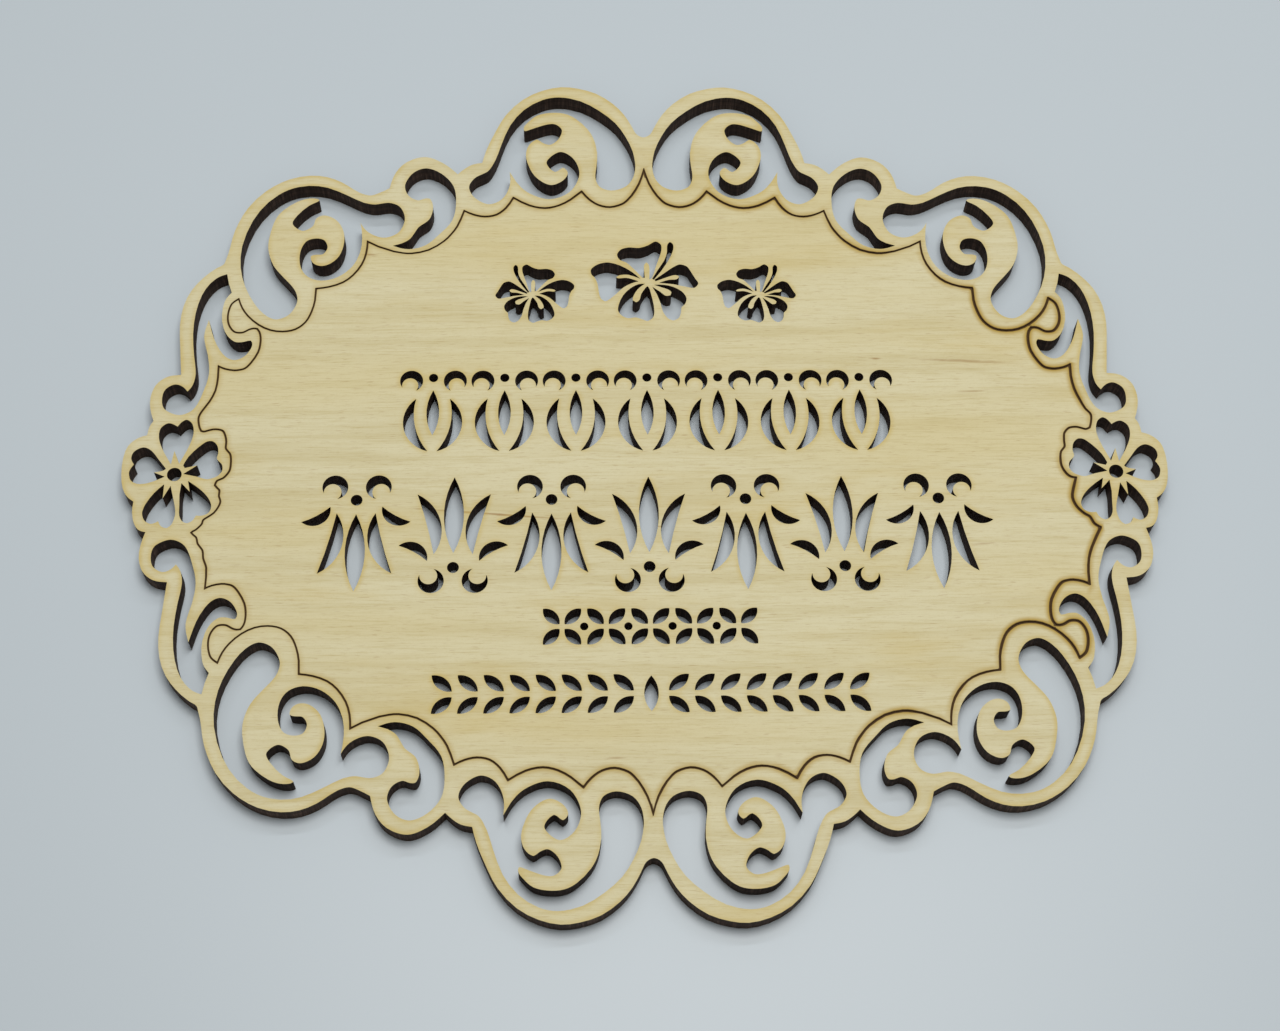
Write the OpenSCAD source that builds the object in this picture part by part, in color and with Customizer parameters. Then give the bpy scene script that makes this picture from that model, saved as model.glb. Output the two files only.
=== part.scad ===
// Pierced wall plaque, cut by laser from one sheet of three-ply birch plywood.
// The plaque lies flat: back face on z = 0, origin at the middle of the back face,
// +X along the width, +Y towards the top edge, +Z out of the decorated face.

/* [Panel] */
// Overall width of the plaque, across the two flower medallions
plaque_w = 180; // [150:5:300]
// Thickness of the front and back face veneers
veneer_t = 1.3; // [0.8:0.1:2]
// Thickness of the cross-grain core veneer
core_t = 1.2; // [0.8:0.1:3]
// Thickness of each glue line
glue_t = 0.1; // [0.05:0.01:0.2]

/* [Medallions] */
// Diameter of the round hole in the middle of each flower medallion
hole_d = 2.5; // [1.6:0.1:2.6]

/* [Score line] */
// Width of the engraved line that borders the panel
score_w = 0.25; // [0.15:0.05:0.4]
// Depth of the engraved line
score_depth = 0.3; // [0.1:0.05:0.6]
// How far the engraving pass sits above the cutting pass
score_shift = 0.25; // [0:0.05:0.4]

/* [Ornament rows] */
// Width of the upright leaves in the tall palmette row
palmette_leaf_w = 3.4; // [2.4:0.2:3.6]
// Distance between neighbouring palmettes
palmette_pitch = 16.6; // [16.4:0.2:17.6]
// Distance between neighbouring lyres
lyre_pitch = 12.4; // [12.2:0.2:13]
// Distance between neighbouring crosses
cross_pitch = 7.4; // [7.2:0.2:9]
// Distance between the leaf pairs of the garland
garland_pitch = 4.3; // [4:0.1:4.6]

/* [Hidden] */

design_w = 180;                 // width at which the outlines below are drawn
size = plaque_w / design_w;     // enlargement of every outline
edge_tol = 0.06;                // how closely straight steps follow the outer edge
scroll_tol = 0.12;              // the same for the border openings
petal_tol = 0.2;                // the same for flowers and for the engraved line
max_miter = 3;                  // longest corner of the engraved line, in half widths
clear = 1;                      // how far the engraving cut reaches out of the face
$fn = 48;

// Heights of the layers above the back face
lower_glue_z = veneer_t;
core_z = lower_glue_z + glue_t;
upper_glue_z = core_z + core_t;
front_z = upper_glue_z + glue_t;
front_top = front_z + veneer_t;

// Hubs of the three flowers above the rows, and how much smaller the outer two are
middle_hub = [0.6, 37.3];
right_hub = [20.3, 34.9];
left_hub = [-20.2, 34.9];
outer_flower_k = 0.73;

// Middle heights of the ornament rows
lyre_row_y = 12.4;
palmette_row_y = -10.7;
cross_row_y = -27.6;
garland_row_y = -39.4;

// Ornaments on each side of the middle one, and leaf pairs on each side of the garland's middle
lyres_aside = 3;
palmettes_aside = 3;
crosses_aside = 2;
garland_pairs = 8;

// Leaves as [length, width], and dots as diameters
palmette_leaf = [14, palmette_leaf_w];
palmette_dot_d = 2;
lyre_leaf = [8.6, 2.2];
lyre_dot_d = 1.6;
cross_leaf = [3.9, 2];
cross_dot_d = 1.4;
cross_gap = 0.6;                // from the middle of a cross to the foot of its leaves
garland_leaf = [4.4, 2];
garland_slant = 50;             // how far a garland leaf leans outwards, in degrees
garland_start = 2.9;            // foot of the first garland leaf, beside the middle
garland_stem = 1;               // gap between the upper and lower garland leaves
garland_middle_leaf = [6.2, 2.4];
garland_middle_y = -42.5;       // foot of the upright leaf in the garland's middle

// ---------------------------------------------------------------- curve functions
// A control point is [x, y] on a smooth stretch, or [x, y, 1] at a sharp corner.
function is_corner(p) = len(p) == 3 && p[2] == 1;
function xy(p) = [p[0], p[1]];
function backwards(l) = [for (i = [len(l) - 1 : -1 : 0]) l[i]];
function flip_x(l) = [for (p = l) is_corner(p) ? [-p[0], p[1], 1] : [-p[0], p[1]]];
function flip_y(l) = [for (p = l) is_corner(p) ? [p[0], -p[1], 1] : [p[0], -p[1]]];
function scaled(l, k) = [for (p = l) is_corner(p) ? [p[0] * k, p[1] * k, 1] : [p[0] * k, p[1] * k]];

// Bezier handle beside p1 on the way to p2, for a curve that arrives from p0
function handle(p0, p1, p2) =
    let (a = sqrt(norm(p1 - p0)), b = sqrt(norm(p2 - p1)))
    (a * a * p2 - b * b * p0 + (2 * a * a + 3 * a * b + b * b) * p1) / (3 * a * (a + b));

function bezier(b, t) =
    let (u = 1 - t)
    u * u * u * b[0] + 3 * u * u * t * b[1] + 3 * u * t * t * b[2] + t * t * t * b[3];

function bezier_steps(b, tol) =
    let (bend = max(norm(b[0] - 2 * b[1] + b[2]), norm(b[1] - 2 * b[2] + b[3])))
    max(1, ceil(sqrt(0.75 * bend / tol)));

// Bezier from control point i of the closed list l to the next one
function span(l, i) =
    let (
        n = len(l),
        c1 = is_corner(l[i]),
        c2 = is_corner(l[(i + 1) % n]),
        p0 = xy(l[(i + n - 1) % n]),
        p1 = xy(l[i]),
        p2 = xy(l[(i + 1) % n]),
        p3 = xy(l[(i + 2) % n]),
        h1 = c1 ? p1 : handle(p0, p1, p2),
        h2 = c2 ? p2 : handle(p3, p2, p1)
    )
    [p1,
     c1 ? (c2 ? p1 + (p2 - p1) / 3 : p1 + (h2 - p1) / 2) : h1,
     c2 ? (c1 ? p2 + (p1 - p2) / 3 : p2 + (h1 - p2) / 2) : h2,
     p2];

// Closed smooth curve through the control points, as a list of plain points
function smooth(l, tol) = [
    for (i = [0 : len(l) - 1])
        let (b = span(l, i), n = bezier_steps(b, tol))
        for (k = [0 : n - 1]) bezier(b, k / n)
];

// Closed line moved sideways by d, with mitred corners
function unit(v) = v / norm(v);
function left_of(v) = [-v[1], v[0]];
function moved(l, d) = [
    for (i = [0 : len(l) - 1])
        let (
            n = len(l),
            a = left_of(unit(l[i] - l[(i + n - 1) % n])),
            b = left_of(unit(l[(i + 1) % n] - l[i])),
            s = max(1 + a * b, 2 / (max_miter * max_miter))
        )
        l[i] + d * (a + b) / s
];

module shape(points, tol) {
    polygon(smooth(points, tol));
}

module four_ways() {
    for (sx = [1, -1], sy = [1, -1]) scale([sx, sy]) children();
}

// ---------------------------------------------------------------- outer outline
// One quarter, from the notch at the top centre round to the side medallion
quarter_outline = [
    [0, 67.3], [1.2, 67.9], [2.2, 69.8], [3.5, 72.1], [5.5, 74.4], [8.6, 76.6],
    [12, 77.7], [15, 78], [18.5, 77.2], [22, 75.3], [25.1, 72], [27.3, 67.7], [28.6, 64.5],
    [29.3, 61.9, 1], [31.1, 61.5], [32.4, 60.7], [33.7, 59.5, 1], [36.5, 61.9], [39.7, 63.1],
    [43, 62], [44.9, 59.8], [45.9, 56.6, 1], [47.8, 55.6], [49.3, 55.1], [51.3, 55.7],
    [54.5, 57.8], [57.2, 58.9], [60.2, 59.2], [64, 58.4], [68, 56], [71.1, 52.5], [73.2, 47.8],
    [74.1, 43.3], [74.8, 41.1, 1], [77.4, 39.2], [80.1, 36], [81.4, 32.7], [81.8, 29],
    [81.5, 24.8], [81, 19.3, 1], [83.4, 18.9], [85.2, 17.4], [86, 15], [85.9, 12.8],
    [85.2, 10.5, 1]
];

// Right-hand medallion, from its upper to its lower junction with the border
medallion_outline = [
    [85.8, 9.4], [86.1, 7.8, 1], [87.7, 7.2], [89.2, 5.8], [89.9, 3.5], [90, 0.3],
    [89.6, -2.1], [88.8, -3.6], [87.6, -4.6, 1], [87.7, -6.6], [87.2, -8.7], [86.4, -9.8],
    [85.2, -10.2, 1]
];

right_outline = concat(
    quarter_outline,
    medallion_outline,
    backwards(flip_y([for (i = [0 : len(quarter_outline) - 2]) quarter_outline[i]]))
);
left_outline = backwards(flip_x([for (i = [1 : len(right_outline) - 2]) right_outline[i]]));
outline = concat(right_outline, left_outline);

// ---------------------------------------------------------------- border openings
// Tall lobe beside the top centre, with its comma scroll
lobe_opening = [
    [6, 56.15], [3.3, 57], [1.9, 59], [1.55, 61.8], [2, 64.4], [3.3, 67.5], [5.1, 70.3],
    [8, 72.9], [11.5, 75], [15.4, 75.8], [18.5, 75.2], [21.8, 73.1], [24.3, 69.8],
    [25.9, 65.6], [26.9, 62.5], [28.3, 60.1], [30.4, 58.9], [31.6, 57], [30.8, 54.9],
    [28, 53.3], [25.6, 54.4], [24.3, 57.1], [24.3, 60, 1], [23.1, 57.9], [21.1, 55.8],
    [17.1, 54.35], [13.5, 55.8], [11.7, 59.5], [12.8, 62.8], [15.2, 64.2], [17.65, 62],
    [16.1, 60], [14.6, 60.9], [13.8, 59.8], [14.6, 58.3], [16.9, 57.3], [19.8, 59.2],
    [21.4, 63.4], [20.8, 65.7], [19.4, 66.8], [18.5, 66.2], [17.1, 65.7], [15.5, 66.9],
    [14.9, 68.9], [16.3, 70.1], [18.6, 69.7], [20.9, 68.8], [21.7, 68.6], [21.8, 69.4],
    [21.1, 70.4], [19.4, 71.9], [16.5, 72.5], [13.8, 72.1], [11.2, 70.2], [9.3, 67.5],
    [8.45, 64], [8.6, 61.1], [8.8, 58.9], [8.1, 57]
];

// Small scroll between the two big ones, ending in a blade
scroll_opening = [
    [39.4, 60.75], [41.7, 59.8], [43.15, 57.1], [42.4, 55], [40.7, 54.1], [39.6, 54.45],
    [38.6, 54.4], [38, 52.6], [38.7, 50.1], [40.5, 48.6], [41.9, 46.3], [43.4, 45.3],
    [45, 44.8, 1], [42.2, 44.1], [39.2, 44.9], [36.9, 47], [34.5, 50], [33.9, 53.8],
    [34.4, 57], [36.6, 59.6]
];

// Large scroll at the corner
corner_opening = [
    [43, 50.3], [44, 52.8], [46, 53.6], [48.3, 53.25], [50.4, 53.6], [53.4, 55.1],
    [57, 56.7], [60.4, 57.1], [64, 56.25], [67.5, 53.7], [70.1, 49.9], [71.75, 44.7],
    [71.8, 40.4], [70.8, 36.6], [69, 33.2], [67.3, 31.2], [65.2, 30.1], [62.9, 31],
    [61.5, 33.7], [62.1, 36], [64.1, 38.4], [66, 40.8], [67.1, 44.2], [66.8, 47.7],
    [65.7, 50.9], [63.6, 53], [61.1, 54.3], [59.1, 54.45], [58.4, 54.1], [60.2, 53],
    [62.2, 51], [63, 49.3], [61.2, 47.85], [59.4, 48.8], [58.8, 50.4], [57.4, 51],
    [55.2, 50], [53.9, 47.8], [53.7, 45.4], [54.5, 42.7], [56.2, 41.1], [57.8, 40.75],
    [59.1, 41.4], [59.5, 42.7], [58.5, 43], [57.4, 43.1], [56.6, 44.4], [57.2, 45.9],
    [58.7, 46.3], [60.4, 45.7], [61.4, 43.5], [61.2, 40.5], [59.9, 38.6], [57.5, 37.8],
    [54.6, 38.5], [52.1, 40.6], [50.8, 43.4], [50.5, 46.3], [50.9, 49.5, 1], [49.5, 47.6],
    [46.7, 46.45], [44.1, 47.5]
];

// Long S-shaped opening at the side, with its hook and its thin leaf
side_opening = [
    [74.1, 39.1, 1], [75.4, 38.6], [77, 37.2], [78.3, 34.9], [79.2, 31.3], [79.4, 27.2],
    [79, 23.1], [78.5, 19.5], [78.9, 17.3], [79.7, 16.1, 1], [80.7, 17.1], [82, 17.45],
    [83.6, 16.4], [84, 14.5], [83.5, 12.8], [80.8, 11.6], [78.5, 12.7], [77.1, 15.7],
    [76.2, 19.5], [76.6, 23.1], [77.45, 26.7], [76.8, 30, 1], [76.1, 27.5], [75.2, 25.2],
    [73.6, 22.9], [72, 22.15], [70.2, 22.9], [69, 25], [69.3, 25.95], [70.5, 25.7],
    [72, 25.7], [73.6, 27.2], [74.5, 29.8], [74.5, 32.3], [74, 34.2], [73.1, 35.4, 1],
    [73.7, 37.2]
];

module border_openings() {
    four_ways() {
        shape(lobe_opening, scroll_tol);
        shape(scroll_opening, scroll_tol);
        shape(corner_opening, scroll_tol);
        shape(side_opening, scroll_tol);
    }
}

// ---------------------------------------------------------------- side medallions
medallion_hole = [81, 0.4];
heart_petals = [
    [[81, 9.4, 1], [82.6, 10.05], [83.9, 9], [84, 7], [83, 4.5], [81.7, 2.3, 1],
     [81.25, 4.8, 1], [80.3, 2.4, 1], [79.1, 5], [78.2, 7.9], [78.5, 9.9], [79.5, 10.7],
     [80.4, 10.2]],
    [[82.5, 1.5, 1], [83.9, 3.3], [85.2, 4.9], [86.6, 5.5], [88.2, 4.6], [88.5, 3.3],
     [88, 2.3, 1], [88.7, 1], [88.3, -0.7], [87.2, -1.3], [85.5, -1.2], [83.9, -0.6],
     [82.6, 0, 1], [84.5, 0.8, 1], [82.8, 1.2, 1]],
    [[82.6, -1.4, 1], [84.2, -3], [85.5, -5], [86, -6.8], [85.6, -8], [84.4, -8.7],
     [83.2, -8.2, 1], [82.6, -9.2], [81.7, -9.5], [80.8, -8.6], [80.4, -7], [80.6, -5.3],
     [81, -3.7], [81.5, -1.7, 1], [82.7, -4, 1]],
    [[78.6, -0.8, 1], [78.2, -2.8, 1], [79.7, -1.2, 1], [79.9, -3.3], [79.8, -5.5],
     [79.7, -7.2], [79.2, -8.2], [78.4, -8.6], [77.4, -8.1], [76.9, -7.2, 1], [75.8, -7.2],
     [74.8, -6.7], [74.4, -5.6], [74.8, -4.3], [76.2, -2.6]],
    [[79.6, 2.1, 1], [78.8, 3.7], [77.3, 5.4], [75.7, 6.6], [74.8, 6.6], [74, 5.8],
     [73.75, 4.5], [73.9, 3.3, 1], [73, 2.2], [72.9, 1.1], [73.8, 0], [75.3, -0.5],
     [77.2, 0], [79.5, 0.5, 1], [77.2, 2.1, 1], [79.3, 1.6, 1]]
];

module medallion_openings() {
    for (petal = heart_petals) shape(petal, petal_tol);
    translate(medallion_hole) circle(d = hole_d / size);
}

// ---------------------------------------------------------------- pierced flowers
// Petals of the middle flower, in place
flower_petals = [
    [[-5, 43], [-4.2, 44.1], [-2.9, 44.45], [-1, 44.35], [0.6, 44.9], [1.9, 45.65],
     [2.9, 44.9], [2.7, 42.9], [1.9, 40.6], [1.1, 38.2, 1], [0.7, 38, 1], [0.6, 41],
     [0.2, 41.4], [-0.15, 41], [-0.1, 38.3, 1], [-0.5, 38.3, 1], [-1.8, 39.8],
     [-3.4, 41.4], [-4.5, 41.9]],
    [[4, 44.9], [4.5, 45.55], [5.05, 45], [4.95, 43.6], [4, 41.5], [2.8, 39.6],
     [1.5, 37.9, 1], [1.2, 38.1, 1], [2.3, 40], [3.4, 41.8], [3.9, 43.3]],
    [[1.8, 37.6, 1], [1.6, 37.9, 1], [2.8, 38.8], [4.5, 40.1], [6.2, 41], [7.4, 40.6], [8.2, 39.4],
     [8.9, 38.1], [9.4, 37.2], [8.7, 36.3], [7.2, 36.5], [5, 37], [2.4, 37.3, 1],
     [4.2, 37.9], [5.5, 38], [6, 38.5], [5.4, 38.85], [3.8, 38.4]],
    [[1.5, 36.9, 1], [3.2, 36.9], [4.9, 36.5], [6.4, 35.6], [7.25, 34.2], [7, 33.1],
     [6.35, 32.4], [6.2, 31.3], [5.8, 30.3], [4.9, 29.8], [3.8, 30.3], [3, 31.6],
     [2.6, 33.3], [2, 35], [1.2, 36.5, 1], [2.6, 35.5], [3.6, 34.7], [4.4, 34.8],
     [4.6, 35.4], [3.9, 36], [2.8, 36.4]],
    [[-0.1, 37.1, 1], [-1.3, 37], [-2.7, 36.2], [-4, 34.8], [-4.8, 32.9], [-4.9, 31.7],
     [-4.3, 30.8], [-3.2, 30.25], [-1.8, 30.4], [-0.6, 30], [0.3, 29.7], [1.2, 30.3],
     [1.5, 31.7], [1.2, 34], [0.8, 35.8], [0.35, 36.6], [-0.2, 36], [-0.8, 35],
     [-1.05, 34], [-1.7, 33.4], [-2.3, 33.8], [-2.1, 34.8], [-1.4, 36]],
    [[-0.9, 38.1, 1], [-2.4, 39.5], [-4.5, 40.8], [-6.5, 41.4], [-8.5, 41], [-9.7, 39.9],
     [-9.6, 39], [-9, 38.3], [-8.5, 37], [-8.3, 35.4], [-7.9, 34.1], [-7.2, 33.6],
     [-6.3, 34.1], [-5.2, 35.1], [-4, 36.3], [-2.7, 37.1], [-1.2, 37.6, 1], [-3.4, 38.3],
     [-4.7, 38.2], [-5.2, 38.4], [-4.6, 38.8], [-3, 38.9]]
];

module flower(hub, k, side) {
    translate(hub) scale([side * k, k, k]) translate(-middle_hub)
        for (petal = flower_petals) shape(petal, petal_tol);
}

module flowers() {
    flower(middle_hub, 1, 1);
    flower(right_hub, outer_flower_k, 1);
    flower(left_hub, outer_flower_k, -1);
}

// ---------------------------------------------------------------- ornament rows
// Radius of the arc that stands s high over a chord of length l
function arc_r(l, s) = (l * l / 4 + s * s) / (2 * s);

// Straight leaf standing on the origin, with dims = [length, width]
module leaf(dims) {
    half_w = dims[1] / 2;
    r = arc_r(dims[0], half_w);
    translate([0, dims[0] / 2]) intersection() {
        translate([r - half_w, 0]) circle(r);
        translate([half_w - r, 0]) circle(r);
    }
}

// Leaf that bows towards +x: it lies between arcs that stand s1 and s2 off its chord
module bowed_leaf(l, s1, s2) {
    r1 = arc_r(l, s1);
    r2 = arc_r(l, s2);
    translate([0, l / 2]) difference() {
        translate([s1 - r1, 0]) circle(r1);
        translate([s2 - r2, 0]) circle(r2);
    }
}

// Crescent of outer radius r, thickest opposite the point it is open towards
module crescent(r, inner, shift) {
    difference() {
        circle(r);
        translate([0, shift]) circle(inner);
    }
}

// Palmette of five leaves over a dot and a pair of crescents
module palmette() {
    translate([0, -3.6]) leaf(palmette_leaf);
    for (side = [1, -1]) scale([side, 1]) {
        translate([3.3, -3.8]) rotate(-15) scale([-1, 1]) bowed_leaf(11.4, 2.6, 0.2);
        translate([4.4, -5]) rotate(-60) scale([-1, 1]) bowed_leaf(5.6, 2, 0.3);
        translate([3.7, -8.6]) rotate(-25) crescent(2.2, 1.5, 1);
    }
    translate([0, -6.2]) circle(d = palmette_dot_d);
}

module palmette_row() {
    for (i = [-palmettes_aside : palmettes_aside])
        translate([i * palmette_pitch, palmette_row_y]) rotate(i % 2 == 0 ? 0 : 180) palmette();
}

// Lyre of two bowed stems with crescents on top, round a leaf and a dot
module lyre() {
    for (side = [1, -1]) scale([side, 1]) {
        translate([0.8, -7.8]) rotate(-12) bowed_leaf(10.2, 3.2, 1.2);
        translate([3.8, 5.6]) rotate(15) crescent(2, 1.4, -0.9);
    }
    translate([0, -4.8]) leaf(lyre_leaf);
    translate([0, 6.2]) circle(d = lyre_dot_d);
}

module lyre_row() {
    for (i = [-lyres_aside : lyres_aside]) translate([i * lyre_pitch, lyre_row_y]) lyre();
}

// Small row of four-leaved crosses with a dot between neighbours
module cross_row() {
    for (i = [-crosses_aside : crosses_aside]) translate([i * cross_pitch, cross_row_y]) {
        for (turn = [45 : 90 : 315]) rotate(turn) translate([0, cross_gap]) leaf(cross_leaf);
        if (i < crosses_aside) translate([cross_pitch / 2, 0]) circle(d = cross_dot_d);
    }
}

// Garland of slanting leaf pairs, mirrored about the middle
module garland_row() {
    for (side = [1, -1], up = [1, -1], i = [0 : garland_pairs - 1])
        translate([0, garland_row_y]) scale([side, up])
            translate([garland_start + i * garland_pitch, garland_stem / 2])
                rotate(-garland_slant) leaf(garland_leaf);
    translate([0, garland_middle_y]) leaf(garland_middle_leaf);
}

// ---------------------------------------------------------------- engraved score line
// One quarter, from the top centre round to the side, just above the medallion
quarter_score = [
    [0, 60.2, 1], [0.9, 57.3], [2.3, 54.8], [4, 53.1], [6.2, 52.45], [8.3, 52.9], [10, 54.1],
    [11.3, 55.7, 1], [13.3, 54], [15.4, 52.8], [17.9, 52.25], [20.7, 52.8], [23.6, 54.4, 1],
    [24.9, 52.3], [26.6, 50.9], [28.7, 50.5], [30.7, 50.9], [32.4, 51.7, 1], [33.6, 48.5],
    [35.9, 45.5], [38.6, 43.7], [41.6, 43], [44.8, 43.4], [47.6, 44.4], [49.5, 45.4, 1],
    [49.7, 43], [50.4, 40.8], [51.9, 38.6], [53.6, 37.2], [56, 36.3], [58.3, 35.95, 1],
    [58.4, 33.6], [58.9, 31.4], [59.9, 29.3], [61.6, 27.9], [63.8, 27.45], [66, 27.75],
    [68.1, 28.8], [70, 30.5], [71.1, 32.1], [71.8, 33.9, 1], [72.9, 33], [73.5, 31],
    [73.3, 28.9], [72.2, 27.4], [70.7, 27.3], [69.6, 27.9], [68.3, 28], [67.6, 26.3],
    [67.9, 23.4], [69, 21.4], [70, 20.3], [71.9, 19.9], [73.5, 20.2], [74.6, 20.7, 1]
];
score_round_right = [
    [74.6, 18.5], [75, 16], [75.8, 13.9], [76.6, 12.2], [77.5, 11, 1], [77.1, 8.5],
    [76.4, 8.2], [74.9, 8.6], [73.4, 8.4], [72.6, 7.5], [72.4, 6], [72.4, 4.9], [71.7, 3.9],
    [71.5, 2.6], [71.6, 1.2], [72.3, -0.2], [73, -0.8], [73.9, -1, 1], [73.3, -3],
    [73, -4.7], [73.6, -6.4], [74.8, -7.7], [75.7, -8.3], [76.4, -9.6], [77.4, -10.3, 1],
    [76.5, -12], [75.6, -13.9], [74.9, -16], [74.6, -18.5]
];
score_round_left = [
    [74.6, 18.5], [74.9, 16], [75.8, 13.9], [76.9, 12.2], [77.5, 10.8], [76.9, 8.3],
    [76.4, 8.2], [74.9, 8.6], [73.2, 8.3], [72.5, 6.3], [72.5, 5], [71.7, 3.9], [71.5, 2.6],
    [71.7, 0.7], [72.6, -0.5], [73.7, -1.1], [74, -1.9], [73.2, -2.8], [73.2, -3.9],
    [72.9, -5], [73.9, -7], [75.6, -8.3], [75.8, -9], [76.8, -10.1], [77.5, -10.6],
    [76.6, -11.5], [76.3, -12.6], [75.4, -13.9], [75.2, -15.3], [74.6, -17], [74.6, -18.6]
];
right_score = concat(quarter_score, score_round_right, backwards(flip_y(quarter_score)));
left_score = concat(
    flip_x(quarter_score), flip_x(score_round_left), backwards(flip_x(flip_y(quarter_score))));
score_path = concat(
    [for (i = [0 : len(right_score) - 2]) right_score[i]],
    backwards([for (i = [1 : len(left_score) - 1]) left_score[i]]));

module score_band() {
    line = smooth(scaled(score_path, size), petal_tol);
    translate([0, score_shift]) difference() {
        polygon(moved(line, score_w / 2));
        polygon(moved(line, -score_w / 2));
    }
}

// ---------------------------------------------------------------- sheet
module pierced_sheet() {
    scale(size) difference() {
        shape(outline, edge_tol);
        border_openings();
        for (side = [1, -1]) scale([side, 1]) medallion_openings();
        flowers();
        lyre_row();
        palmette_row();
        cross_row();
        garland_row();
    }
}

module layer(z, t) {
    translate([0, 0, z]) linear_extrude(t) pierced_sheet();
}

module front_veneer() {
    color("burlywood") difference() {
        layer(front_z, veneer_t);
        translate([0, 0, front_top - score_depth]) linear_extrude(score_depth + clear) score_band();
    }
}

module upper_glue_line() {
    color("saddlebrown") layer(upper_glue_z, glue_t);
}

module core_veneer() {
    color("tan") layer(core_z, core_t);
}

module lower_glue_line() {
    color("saddlebrown") layer(lower_glue_z, glue_t);
}

module back_veneer() {
    color("burlywood") layer(0, veneer_t);
}

front_veneer();
upper_glue_line();
core_veneer();
lower_glue_line();
back_veneer();
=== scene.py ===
"""Looks of the pierced birch plaque: sanded faces, charred laser cuts, a pale glossy table top."""

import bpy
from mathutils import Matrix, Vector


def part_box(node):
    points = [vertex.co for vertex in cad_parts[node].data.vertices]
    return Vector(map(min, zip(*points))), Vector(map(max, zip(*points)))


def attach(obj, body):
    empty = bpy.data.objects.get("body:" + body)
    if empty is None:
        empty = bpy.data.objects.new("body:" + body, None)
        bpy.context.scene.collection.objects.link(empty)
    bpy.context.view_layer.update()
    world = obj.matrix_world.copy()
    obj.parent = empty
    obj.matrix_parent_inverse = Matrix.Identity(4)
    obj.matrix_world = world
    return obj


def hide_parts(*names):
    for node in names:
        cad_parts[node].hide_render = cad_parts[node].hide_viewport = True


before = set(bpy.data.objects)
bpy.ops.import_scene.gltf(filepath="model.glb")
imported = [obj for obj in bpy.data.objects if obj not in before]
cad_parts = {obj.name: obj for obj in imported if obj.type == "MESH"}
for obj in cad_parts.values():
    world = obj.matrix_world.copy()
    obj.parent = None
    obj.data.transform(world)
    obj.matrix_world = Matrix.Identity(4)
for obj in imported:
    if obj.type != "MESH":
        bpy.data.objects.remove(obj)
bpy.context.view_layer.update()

import math

import bmesh
import bpy
from mathutils import Euler, Vector
from mathutils.geometry import delaunay_2d_cdt
from mathutils.kdtree import KDTree

MM = 0.001

# ---------------------------------------------------------------- heights of the flat faces
FLAT_TOLERANCE = 0.001 * MM
HEIGHT_MARGIN = 0.01 * MM
BACK_Z = 0.0
FRONT_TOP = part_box("front_veneer")[1].z
FRONT_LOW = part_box("front_veneer")[0].z
# The engraved groove's floor is the only other height in the front veneer
GROOVE_Z = next(v.co.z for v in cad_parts["front_veneer"].data.vertices
                if FRONT_LOW + HEIGHT_MARGIN < v.co.z < FRONT_TOP - HEIGHT_MARGIN)

# ---------------------------------------------------------------- smooth copies of the layers
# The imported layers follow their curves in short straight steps. These copies keep every corner and
# every point of those outlines, and run round curves between them. Outlines are in millimetres.
CORNER_DEG = 48             # an outline that turns more than this has a corner there
STEP_DEG = 11               # a curve turns about this much in one step
MOST_STEPS = 6              # steps between two neighbouring points of an outline
SHORTEST_STEP = 0.12        # millimetres
SHARP_DEG = 30              # edges above this angle are shaded sharp
MERGE_GAP = 0.0005 * MM     # points closer than this become one
CDT_INSIDE_WITH_HOLES = 2   # the triangulation's output type that leaves the holes out
CDT_EPSILON = 1e-7

# Rows of loose points beside the engraved line carry its scorch halo. Distances are in millimetres.
HALO_ROWS = (0.2, 0.6, 1.2)
HALO_SPACING = 0.7          # along a row
GAP_SPACING = 0.1           # along an outline that distances are measured to
CUT_CLEARANCE = 0.15        # a loose point stays this far from every cut
ROW_SHARE = 0.9             # and this share of its row's distance from the engraved line
SCORCH = "scorch"           # the attribute's name


def flat_outlines(node, height):
    """Closed outlines of a CAD node's flat faces at a height, as lists of points in millimetres."""
    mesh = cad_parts[node].data
    place = [(vertex.co.x / MM, vertex.co.y / MM) for vertex in mesh.vertices]
    edges = set()
    for face in mesh.polygons:
        if all(abs(mesh.vertices[i].co.z - height) < FLAT_TOLERANCE for i in face.vertices):
            ring = [place[i] for i in face.vertices]
            for start, end in zip(ring, ring[1:] + ring[:1]):
                if (end, start) in edges:
                    edges.remove((end, start))
                elif start != end:
                    edges.add((start, end))
    onward = dict(edges)
    outlines = []
    while onward:
        start, point = onward.popitem()
        outline = [Vector(start)]
        while point != start:
            outline.append(Vector(point))
            point = onward.pop(point)
        outlines.append(outline)
    return outlines


def turn_at(before, point, after):
    """How far, in degrees, an outline turns at a point."""
    return abs(math.degrees((point - before).angle_signed(after - point, 0.0)))


def handle(before, point, after):
    """Bezier handle beside point on the way to after, for a curve that arrives from before."""
    near = math.sqrt((point - before).length)
    far = math.sqrt((after - point).length)
    weight = 2 * near * near + 3 * near * far + far * far
    return (near * near * after - far * far * before + weight * point) / (3 * near * (near + far))


def curve_point(start, leave, arrive, end, t):
    """The point at t, from 0 to 1, on the Bezier curve with these ends and handles."""
    u = 1 - t
    return u**3 * start + 3 * u * u * t * leave + 3 * u * t * t * arrive + t**3 * end


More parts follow.
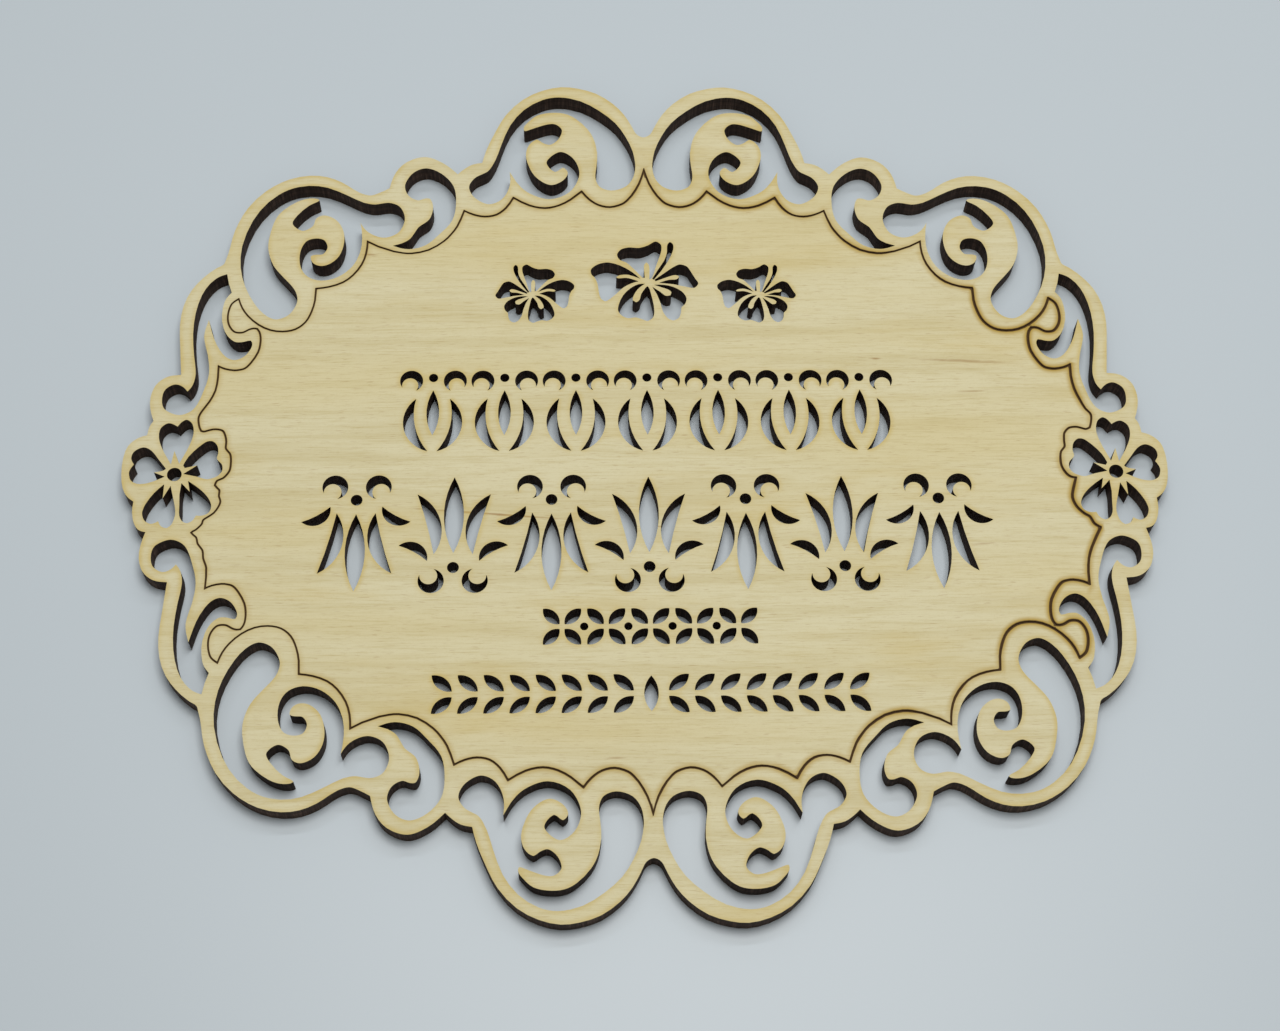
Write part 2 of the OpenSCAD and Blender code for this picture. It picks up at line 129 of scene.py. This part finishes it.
def smooth_outline(points):
    """The outline with round curves between its corners."""
    count = len(points)
    turns = [turn_at(points[i - 1], points[i], points[(i + 1) % count]) for i in range(count)]
    corner = [turn > CORNER_DEG for turn in turns]
    result = []
    for i in range(count):
        j = (i + 1) % count
        before, start, end, after = points[i - 1], points[i], points[j], points[(j + 1) % count]
        leave = start if corner[i] else handle(before, start, end)
        arrive = end if corner[j] else handle(after, end, start)
        if corner[i]:
            leave = (start + arrive) / 2
        if corner[j]:
            arrive = (end + leave) / 2
        bend = max(0.0 if corner[i] else turns[i], 0.0 if corner[j] else turns[j])
        most = min(MOST_STEPS, int((end - start).length / SHORTEST_STEP))
        steps = 1 if corner[i] and corner[j] else max(1, min(most, math.ceil(bend / STEP_DEG)))
        result.extend(curve_point(start, leave, arrive, end, step / steps) for step in range(steps))
    return result


def inside_box(outline, low, high):
    """The outline kept inside the CAD model's own box."""
    return [Vector((min(max(p.x, low.x / MM), high.x / MM), min(max(p.y, low.y / MM), high.y / MM)))
            for p in outline]


def spots_along(outlines, spacing):
    """Points along the outlines, at most the spacing apart, each with its sideways direction."""
    spots = []
    for outline in outlines:
        for start, end in zip(outline, outline[1:] + outline[:1]):
            along = end - start
            count = math.ceil(along.length / spacing)
            aside = Vector((-along.y, along.x)).normalized()
            spots.extend((start + along * k / count, aside) for k in range(count))
    return spots


def gap_finder(outlines):
    """A function that gives a point's distance to the nearest outline, in millimetres."""
    spots = spots_along(outlines, GAP_SPACING)
    tree = KDTree(len(spots))
    for i, (spot, _) in enumerate(spots):
        tree.insert((spot.x, spot.y, 0.0), i)
    tree.balance()
    return lambda point: tree.find((point.x, point.y, 0.0))[2]


def halo_points():
    """The loose points beside the engraved line, on both sides of it."""
    score_gap = gap_finder(GROOVE)
    cut_gap = gap_finder(OUTLINES)
    rows = [way * row for row in HALO_ROWS for way in (1, -1)]
    points = []
    for spot, aside in spots_along(GROOVE, HALO_SPACING):
        for row in rows:
            point = spot + aside * row
            if score_gap(point) > ROW_SHARE * abs(row) and cut_gap(point) > CUT_CLEARANCE:
                points.append(point)
    return points


def flat_fill(outlines, loose=()):
    """Triangles that fill the area between the outlines and use the loose points, as (points, faces)."""
    points, rings = [], []
    for outline in outlines:
        rings.append(list(range(len(points), len(points) + len(outline))))
        points.extend(outline)
    points.extend(loose)
    filled = delaunay_2d_cdt(points, [], rings, CDT_INSIDE_WITH_HOLES, CDT_EPSILON)
    return filled[0], filled[2]


OUTLINES = [inside_box(smooth_outline(outline), *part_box("back_veneer"))
            for outline in flat_outlines("back_veneer", BACK_Z)]
GROOVE = [smooth_outline(outline) for outline in flat_outlines("front_veneer", GROOVE_Z)]
SHEET_FILL = flat_fill(OUTLINES)
FRONT_FILL = flat_fill(OUTLINES + GROOVE, halo_points())
GROOVE_FILL = flat_fill(GROOVE)


def lay(mesh, fill, z):
    """Adds a flat face at height z, made of the fill's triangles."""
    points, faces = fill
    used = sorted({i for face in faces for i in face})
    corners = {i: mesh.verts.new((points[i].x * MM, points[i].y * MM, z)) for i in used}
    for face in faces:
        mesh.faces.new([corners[i] for i in face])


def raise_walls(mesh, outlines, bottom, top):
    """Adds upright walls along the outlines."""
    for outline in outlines:
        foot = [mesh.verts.new((p.x * MM, p.y * MM, bottom)) for p in outline]
        head = [mesh.verts.new((p.x * MM, p.y * MM, top)) for p in outline]
        for i in range(len(outline)):
            j = (i + 1) % len(outline)
            mesh.faces.new((foot[i], foot[j], head[j], head[i]))


def mark_scorch(data):
    """Stores on every vertex 1 at the engraved line, falling to 0 at the outermost halo row."""
    score_gap = gap_finder(GROOVE)
    marks = data.attributes.new(SCORCH, "FLOAT", "POINT")
    for vertex, mark in zip(data.vertices, marks.data):
        mark.value = max(0.0, 1 - score_gap(vertex.co / MM) / HALO_ROWS[-1])


def smooth_layer(node, engraved):
    """A closed plate with the node's own heights and round curves, that replaces the node."""
    low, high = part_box(node)
    mesh = bmesh.new()
    lay(mesh, SHEET_FILL, low.z)
    raise_walls(mesh, OUTLINES, low.z, high.z)
    if engraved:
        lay(mesh, FRONT_FILL, high.z)
        lay(mesh, GROOVE_FILL, GROOVE_Z)
        raise_walls(mesh, GROOVE, GROOVE_Z, high.z)
    else:
        lay(mesh, SHEET_FILL, high.z)
    bmesh.ops.remove_doubles(mesh, verts=mesh.verts, dist=MERGE_GAP)
    bmesh.ops.recalc_face_normals(mesh, faces=mesh.faces)
    data = bpy.data.meshes.new(node + "_cut")
    mesh.to_mesh(data)
    mesh.free()
    data.shade_smooth()
    data.set_sharp_from_angle(angle=math.radians(SHARP_DEG))
    if engraved:
        mark_scorch(data)
    piece = bpy.data.objects.new(node + "_cut", data)
    bpy.context.scene.collection.objects.link(piece)
    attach(piece, "root")
    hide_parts(node)
    return piece


# ---------------------------------------------------------------- camera
# Solved from the plaque's outline, its two side holes and the thickness of its cut walls
LENS_MM = 69.27
SENSOR_MM = 36.0
CAMERA_AT = (-0.0108, -0.1691, 0.3920)
CAMERA_TURN_DEG = (23.39, -1.69, -0.96)
CAMERA_SHIFT = (-0.0223, -0.0258)
CLIP_START = 0.01


def add_camera():
    """The camera at the photograph's own place."""
    data = bpy.data.cameras.new("camera")
    data.sensor_fit = "HORIZONTAL"
    data.sensor_width = SENSOR_MM
    data.lens = LENS_MM
    data.shift_x, data.shift_y = CAMERA_SHIFT
    data.clip_start = CLIP_START
    camera = bpy.data.objects.new("camera", data)
    camera.location = CAMERA_AT
    camera.rotation_euler = Euler([math.radians(angle) for angle in CAMERA_TURN_DEG])
    bpy.context.scene.collection.objects.link(camera)
    bpy.context.scene.camera = camera


# ---------------------------------------------------------------- shader helpers
# The colour sockets of a Mix node, which share their names with its other sockets
MIX_FIRST = 6
MIX_SECOND = 7
MIX_RESULT = 2


class Shader:
    """A material's node tree, with short calls that add a node and wire it up."""

    def __init__(self, name):
        self.material = bpy.data.materials.new(name)
        self.material.use_nodes = True
        self.tree = self.material.node_tree
        self.surface = self.tree.nodes["Principled BSDF"]

    def node(self, kind, **settings):
        """A new node with these settings."""
        new = self.tree.nodes.new(kind)
        for key, value in settings.items():
            setattr(new, key, value)
        return new

    def put(self, socket, value):
        """Wires an output into a socket, or sets the socket's own value."""
        if isinstance(value, bpy.types.NodeSocket):
            self.tree.links.new(value, socket)
        else:
            socket.default_value = value

    def place(self):
        """The point's place in the object's own frame, in metres."""
        return self.node("ShaderNodeTexCoord").outputs["Object"]

    def maths(self, operation, first, second, clamp=False):
        """The result of an operation on two numbers, kept between 0 and 1 if clamp is set."""
        new = self.node("ShaderNodeMath", operation=operation, use_clamp=clamp)
        self.put(new.inputs[0], first)
        self.put(new.inputs[1], second)
        return new.outputs[0]

    def vector(self, operation, first, second=None):
        """The node that does an operation on one vector or two."""
        new = self.node("ShaderNodeVectorMath", operation=operation)
        self.put(new.inputs[0], first)
        if second is not None:
            self.put(new.inputs[1], second)
        return new

    def between(self, value, low, high, to_low=0.0, to_high=1.0):
        """Carries low..high over to to_low..to_high smoothly, and stops at the ends."""
        new = self.node("ShaderNodeMapRange", interpolation_type="SMOOTHSTEP")
        for socket, given in zip(new.inputs, (value, low, high, to_low, to_high)):
            self.put(socket, given)
        return new.outputs[0]

    def noise(self, vector, per_metre, shift=(0.0, 0.0, 0.0), detail=2.0, roughness=0.5):
        """Soft noise with this many waves to the metre along X, Y and Z, moved by the shift."""
        stretched = self.node("ShaderNodeMapping")
        self.put(stretched.inputs["Vector"], vector)
        stretched.inputs["Scale"].default_value = per_metre
        stretched.inputs["Location"].default_value = shift
        new = self.node("ShaderNodeTexNoise")
        self.put(new.inputs["Vector"], stretched.outputs[0])
        new.inputs["Scale"].default_value = 1.0
        new.inputs["Detail"].default_value = detail
        new.inputs["Roughness"].default_value = roughness
        return new.outputs["Fac"]

    def mixed(self, share, first, second, blend="MIX"):
        """The first colour with this share of the second."""
        new = self.node("ShaderNodeMix", data_type="RGBA", blend_type=blend)
        self.put(new.inputs["Factor"], share)
        self.put(new.inputs[MIX_FIRST], first)
        self.put(new.inputs[MIX_SECOND], second)
        return new.outputs[MIX_RESULT]

    def add_bump(self, height, depth, strength):
        """Gives the surface a relief of this depth in metres."""
        new = self.node("ShaderNodeBump")
        new.inputs["Strength"].default_value = strength
        new.inputs["Distance"].default_value = depth
        self.put(new.inputs["Height"], height)
        self.put(self.surface.inputs["Normal"], new.outputs["Normal"])


def rgba(colour):
    """A colour with full opacity."""
    return (*colour, 1.0)


# ---------------------------------------------------------------- birch faces
FACE_COLOUR = (0.618, 0.568, 0.368)
FACE_DARK = (0.470, 0.390, 0.180)
FACE_WARM = (0.582, 0.496, 0.250)
BROWN_COLOUR = (0.30, 0.17, 0.06)
GOLD_COLOUR = (0.50, 0.365, 0.085)
FACE_ROUGHNESS = 0.58
WOOD_SPECULAR = 0.15
FACE_SKIN = 0.02 * MM       # anything deeper below a face than this is cut, and charred

# The grain runs along X and sways sideways
SWAY_WAVES = (7.0, 16.0, 0.0)
SWAY_WIDTH = 4 * MM
# Patterns laid over the face colour one after the other: waves to the metre, shift, detail and
# roughness of the noise, the range of it over which the tint comes in, the tint's highest share, the
# tint, and whether the pattern sways with the grain
PATTERNS = {
    "streaks": ((22.0, 420.0, 100.0), (3.1, 0.7, 0.0), 3.0, 0.55, 0.40, 0.72, 0.42, FACE_DARK, True),
    "bands": ((6.0, 55.0, 10.0), (0.4, 5.2, 0.0), 2.0, 0.50, 0.42, 0.70, 0.50, FACE_WARM, True),
    "fibres": ((150.0, 3300.0, 300.0), (0.0, 0.0, 0.0), 3.0, 0.60, 0.44, 0.74, 0.46, FACE_DARK, True),
    "pores": ((420.0, 5200.0, 500.0), (1.7, 9.0, 0.0), 1.0, 0.50, 0.60, 0.76, 0.34, BROWN_COLOUR, True),
    "clouds": ((24.0, 110.0, 40.0), (2.3, 7.7, 0.0), 3.0, 0.60, 0.50, 0.78, 0.34, GOLD_COLOUR, True),
    "grit": ((2600.0, 4200.0, 2600.0), (0.0, 0.0, 0.0), 2.0, 0.70, 0.50, 0.80, 0.30, FACE_DARK, False),
}

# Brown mineral streaks on the front: middle x, y, length, width in millimetres, slope, strength
MINERAL_STREAKS = [
    (-26.0, -7.2, 38.0, 0.55, -0.081, 0.80),
    (2.0, -9.6, 6.0, 0.50, -0.050, 0.55),
    (40.3, 22.2, 2.6, 0.60, 0.0, 0.75),
    (56.0, 21.7, 22.0, 0.80, -0.050, 0.55),
    (57.0, 15.8, 6.0, 0.60, 0.040, 0.45),
    (57.0, -13.0, 6.0, 0.60, 0.060, 0.40),
    (-49.0, 43.0, 4.0, 0.50, 0.0, 0.60),
    (-6.0, -50.5, 5.0, 0.50, 0.030, 0.50),
]
WOBBLE_WAVES = (500.0, 2500.0, 0.0)
WOBBLE_SHARE = 0.9          # how far the wobble moves a streak's edge, in half sizes of the streak
STREAK_FULL = 0.5           # a streak fades from here to its end, in half sizes of the streak
STREAK_END = 1.5


def birch_face(shader, place):
    """Colour of a sanded birch face, and the height of its fibres."""
    sway = shader.node("ShaderNodeCombineXYZ")
    shader.put(sway.inputs["Y"], shader.maths("MULTIPLY", shader.noise(place, SWAY_WAVES), SWAY_WIDTH))
    flow = shader.vector("ADD", place, sway.outputs[0]).outputs[0]
    colour = rgba(FACE_COLOUR)
    heights = {}
    for name, (waves, shift, detail, roughness, low, high, most, tint, sways) in PATTERNS.items():
        heights[name] = shader.noise(flow if sways else place, waves, shift, detail, roughness)
        share = shader.between(heights[name], low, high, 0.0, most)
        colour = shader.mixed(share, colour, rgba(tint))
    return colour, heights["fibres"]


def mineral_share(shader, place):
    """How much of a brown mineral streak there is at a point of the front face."""
    wobble = shader.maths("MULTIPLY", shader.noise(place, WOBBLE_WAVES), WOBBLE_SHARE)
    total = 0.0
    for x, y, length, width, slope, strength in MINERAL_STREAKS:
        away = shader.vector("SUBTRACT", place, (x * MM, y * MM, FRONT_TOP)).outputs[0]
        halves = shader.node("ShaderNodeCombineXYZ")
        for axis, factors in (("X", (1 / length, 0.0, 0.0)), ("Y", (-slope / width, 1 / width, 0.0))):
            along = shader.vector("DOT_PRODUCT", away, [2 * factor / MM for factor in factors])
            shader.put(halves.inputs[axis], along.outputs["Value"])
        reach = shader.vector("LENGTH", halves.outputs[0]).outputs["Value"]
        edge = shader.maths("ADD", reach, wobble)
        share = shader.between(edge, STREAK_FULL, STREAK_END, strength, 0.0)
        total = shader.maths("MAXIMUM", total, share)
    return total


# ---------------------------------------------------------------- laser burns
SCORCH_COLOUR = (0.39, 0.255, 0.035)
RIM_COLOUR = (0.066, 0.033, 0.008)
CHAR_COLOUR = (0.037, 0.0205, 0.0135)
CHAR_LIGHT = (0.135, 0.085, 0.060)
CHAR_ROUGHNESS = 0.72

# Noise in a cut wall, in waves to the metre, and the range of it that turns the char pale, with the
# shares that the range's ends stand for where they aren't 0 and 1
STROKE_WAVES = (3200.0, 3200.0, 150.0)
STROKE_ROUGHNESS = 0.6
STROKE_RANGE = (0.40, 0.75)
PATCH_WAVES = (160.0, 160.0, 320.0)
PATCH_RANGE = (0.35, 0.70, 0.30, 1.00)
FIBRE_WAVES = (250.0, 250.0, 5200.0)
FIBRE_RANGE = (0.55, 0.80, 0.00, 0.35)

# Halos on a face. One noise makes them all uneven
UNEVEN_WAVES = (70.0, 70.0, 70.0)
UNEVEN_SHIFT = (4.0, 2.0, 0.0)
UNEVEN_DETAIL = 3.0
UNEVEN_ROUGHNESS = 0.6
HALO_REACH = 1.25 * MM      # golden halo beside a cut
HALO_SAMPLES = 12
HALO_RANGE = (0.05, 1.00)   # of the closeness to a cut or to the engraved line
GOLD_RANGE = (0.36, 0.66, 0.16, 0.62)
BURN_RANGE = (0.32, 0.58, 0.35, 1.00)
BURN_ACROSS = (-60 * MM, 70 * MM, 0.30, 1.00)   # the engraved line is burnt more towards +X
RIM_GROWTH = 0.11           # how much a full burn widens the line's dark rim
RIM_RANGE = (0.94, 1.02)    # of the closeness to the line, over which the rim sets in
GROOVE_RANGE = (0.88, 0.96) # the same for the brown of its walls and floor

# Relief of the wood: depth in metres and strength
VENEER_RELIEF = (0.03 * MM, 0.6)
WALL_RELIEF = (0.05 * MM, 0.7)


def charred_wall(shader, place):
    """Colour of a laser-cut wall, near black with paler marks, and the height of its upright strokes."""
    strokes = shader.noise(place, STROKE_WAVES, roughness=STROKE_ROUGHNESS)
    patches = shader.noise(place, PATCH_WAVES)
    fibres = shader.noise(place, FIBRE_WAVES)
    smear = shader.between(patches, *PATCH_RANGE)
    pale = shader.maths("MULTIPLY", shader.between(strokes, *STROKE_RANGE), smear)
    pale = shader.maths("ADD", pale, shader.between(fibres, *FIBRE_RANGE), clamp=True)
    return shader.mixed(pale, rgba(CHAR_COLOUR), rgba(CHAR_LIGHT)), strokes


def edge_closeness(shader):
    """1 at the rim of a cut, falling to 0 one halo reach away from it."""
    inside = shader.node("ShaderNodeAmbientOcclusion", samples=HALO_SAMPLES, inside=True, only_local=True)
    inside.inputs["Distance"].default_value = HALO_REACH
    # Right at a rim, half of the rays into the wood meet the cut wall
    covered = shader.maths("SUBTRACT", 1.0, inside.outputs["AO"])
    return shader.maths("MULTIPLY", covered, 2.0, clamp=True)


def with_cut_halo(shader, face, uneven):
    """The face with the golden halo beside its cuts."""
    near = shader.between(edge_closeness(shader), *HALO_RANGE)
    share = shader.maths("MULTIPLY", near, shader.between(uneven, *GOLD_RANGE))
    return shader.mixed(share, face, rgba(GOLD_COLOUR))


def with_score_burn(shader, face, uneven, across, score):
    """The face with the brown halo and the dark rim of the engraved line."""
    patchy = shader.between(uneven, *BURN_RANGE)
    burn = shader.maths("MULTIPLY", patchy, shader.between(across, *BURN_ACROSS))
    share = shader.maths("MULTIPLY", shader.between(score, *HALO_RANGE), burn)
    face = shader.mixed(share, face, rgba(SCORCH_COLOUR))
    rim = shader.maths("ADD", score, shader.maths("MULTIPLY", burn, RIM_GROWTH))
    return shader.mixed(shader.between(rim, *RIM_RANGE), face, rgba(RIM_COLOUR))


def veneer_material(name, face_z, side, engraved):
    """Birch on the face at height face_z, and char on everything deeper in the layer.

    side is 1 for a face that looks up and -1 for one that looks down.
    """
    shader = Shader(name)
    place = shader.place()
    parts = shader.node("ShaderNodeSeparateXYZ")
    shader.put(parts.inputs[0], place)
    uneven = shader.noise(place, UNEVEN_WAVES, UNEVEN_SHIFT, UNEVEN_DETAIL, UNEVEN_ROUGHNESS)
    face, fibres = birch_face(shader, place)
    wall, strokes = charred_wall(shader, place)
    if engraved:
        face = shader.mixed(mineral_share(shader, place), face, rgba(BROWN_COLOUR))
    face = with_cut_halo(shader, face, uneven)
    if engraved:
        score = shader.node("ShaderNodeAttribute", attribute_name=SCORCH).outputs["Fac"]
        face = with_score_burn(shader, face, uneven, parts.outputs["X"], score)
        wall = shader.mixed(shader.between(score, *GROOVE_RANGE), wall, rgba(RIM_COLOUR))

    depth = shader.maths("MULTIPLY", shader.maths("SUBTRACT", face_z, parts.outputs["Z"]), side)
    cut = shader.maths("GREATER_THAN", depth, FACE_SKIN)
    bare = shader.maths("SUBTRACT", 1.0, cut)
    shader.put(shader.surface.inputs["Base Color"], shader.mixed(cut, face, wall))
    roughness = shader.between(cut, 0.0, 1.0, FACE_ROUGHNESS, CHAR_ROUGHNESS)
    shader.put(shader.surface.inputs["Roughness"], roughness)
    shader.surface.inputs["Specular IOR Level"].default_value = WOOD_SPECULAR
    face_height = shader.maths("MULTIPLY", fibres, bare)
    wall_height = shader.maths("MULTIPLY", strokes, cut)
    shader.add_bump(shader.maths("ADD", face_height, wall_height), *VENEER_RELIEF)
    return shader.material


def wall_material(name, tint):
    """Char for a layer that only shows its cut walls, darkened or lightened by tint."""
    shader = Shader(name)
    wall, strokes = charred_wall(shader, shader.place())
    shader.put(shader.surface.inputs["Base Color"], shader.mixed(1.0, wall, rgba(tint), "MULTIPLY"))
    shader.surface.inputs["Roughness"].default_value = CHAR_ROUGHNESS
    shader.surface.inputs["Specular IOR Level"].default_value = WOOD_SPECULAR
    shader.add_bump(strokes, *WALL_RELIEF)
    return shader.material


# ---------------------------------------------------------------- table and light
TABLE_SIZE = 4.0
TABLE_DROP = 0.03 * MM      # how far below the plaque's back the table lies
TABLE_COLOUR = (0.464, 0.519, 0.558)
TABLE_ROUGHNESS = 0.38
TABLE_SPECULAR = 0.3
WORLD_COLOUR = (1.0, 0.99, 0.97)
WORLD_STRENGTH = 0.25
# Area lamps: name, place, the point they face, size, watts, colour, roll in degrees
LAMPS = [
    ("ceiling", (0.05, 0.07, 0.75), (0.05, 0.0, 0.0), (0.36, 0.36), 4.1, (1.0, 0.985, 0.955), 0.0),
    ("long_lamp", (0.10, 0.95, 1.5), (0.0, 0.0, 0.0), (1.8, 0.05), 5.8, (0.94, 0.97, 1.0), 9.0),
]


def add_table():
    """The plain table top, which isn't part of the object."""
    half = TABLE_SIZE / 2
    mesh = bpy.data.meshes.new("table")
    places = ((-half, -half), (half, -half), (half, half), (-half, half))
    mesh.from_pydata([(x, y, -TABLE_DROP) for x, y in places], [], [(0, 1, 2, 3)])
    table = bpy.data.objects.new("table", mesh)
    bpy.context.scene.collection.objects.link(table)
    shader = Shader("table_top")
    shader.surface.inputs["Base Color"].default_value = rgba(TABLE_COLOUR)
    shader.surface.inputs["Roughness"].default_value = TABLE_ROUGHNESS
    shader.surface.inputs["Specular IOR Level"].default_value = TABLE_SPECULAR
    mesh.materials.append(shader.material)


def add_area(name, at, look_at, size, energy, colour, roll_deg):
    """A rectangular lamp that faces a point, turned about its own beam by the roll."""
    data = bpy.data.lights.new(name, "AREA")
    data.shape = "RECTANGLE"
    data.size, data.size_y = size
    data.energy = energy
    data.color = colour
    light = bpy.data.objects.new(name, data)
    light.location = at
    aim = (Vector(look_at) - Vector(at)).to_track_quat("-Z", "Y").to_matrix().to_4x4()
    roll = Euler((0, 0, math.radians(roll_deg))).to_matrix().to_4x4()
    light.rotation_euler = (aim @ roll).to_euler()
    bpy.context.scene.collection.objects.link(light)


def add_light():
    """Soft light from all around, and the lamps."""
    world = bpy.data.worlds.new("studio")
    world.use_nodes = True
    background = world.node_tree.nodes["Background"]
    background.inputs["Color"].default_value = rgba(WORLD_COLOUR)
    background.inputs["Strength"].default_value = WORLD_STRENGTH
    bpy.context.scene.world = world
    for lamp in LAMPS:
        add_area(*lamp)


# ---------------------------------------------------------------- build
GLUE_TINT = (0.45, 0.45, 0.45)
CORE_TINT = (1.25, 1.20, 1.15)

add_camera()
glue = wall_material("glue_line", GLUE_TINT)
LAYERS = [
    ("front_veneer", "birch_front", veneer_material("birch_front", FRONT_TOP, 1.0, True)),
    ("upper_glue_line", "glue", glue),
    ("core_veneer", "birch_core", wall_material("birch_core", CORE_TINT)),
    ("lower_glue_line", "glue", glue),
    ("back_veneer", "birch_back", veneer_material("birch_back", BACK_Z, -1.0, False)),
]
for node, slot, material in LAYERS:
    piece = smooth_layer(node, node == "front_veneer")
    piece.data.materials.append(material)
add_table()
add_light()

settings = bpy.context.scene.view_settings
settings.view_transform = "Standard"
settings.look = "None"
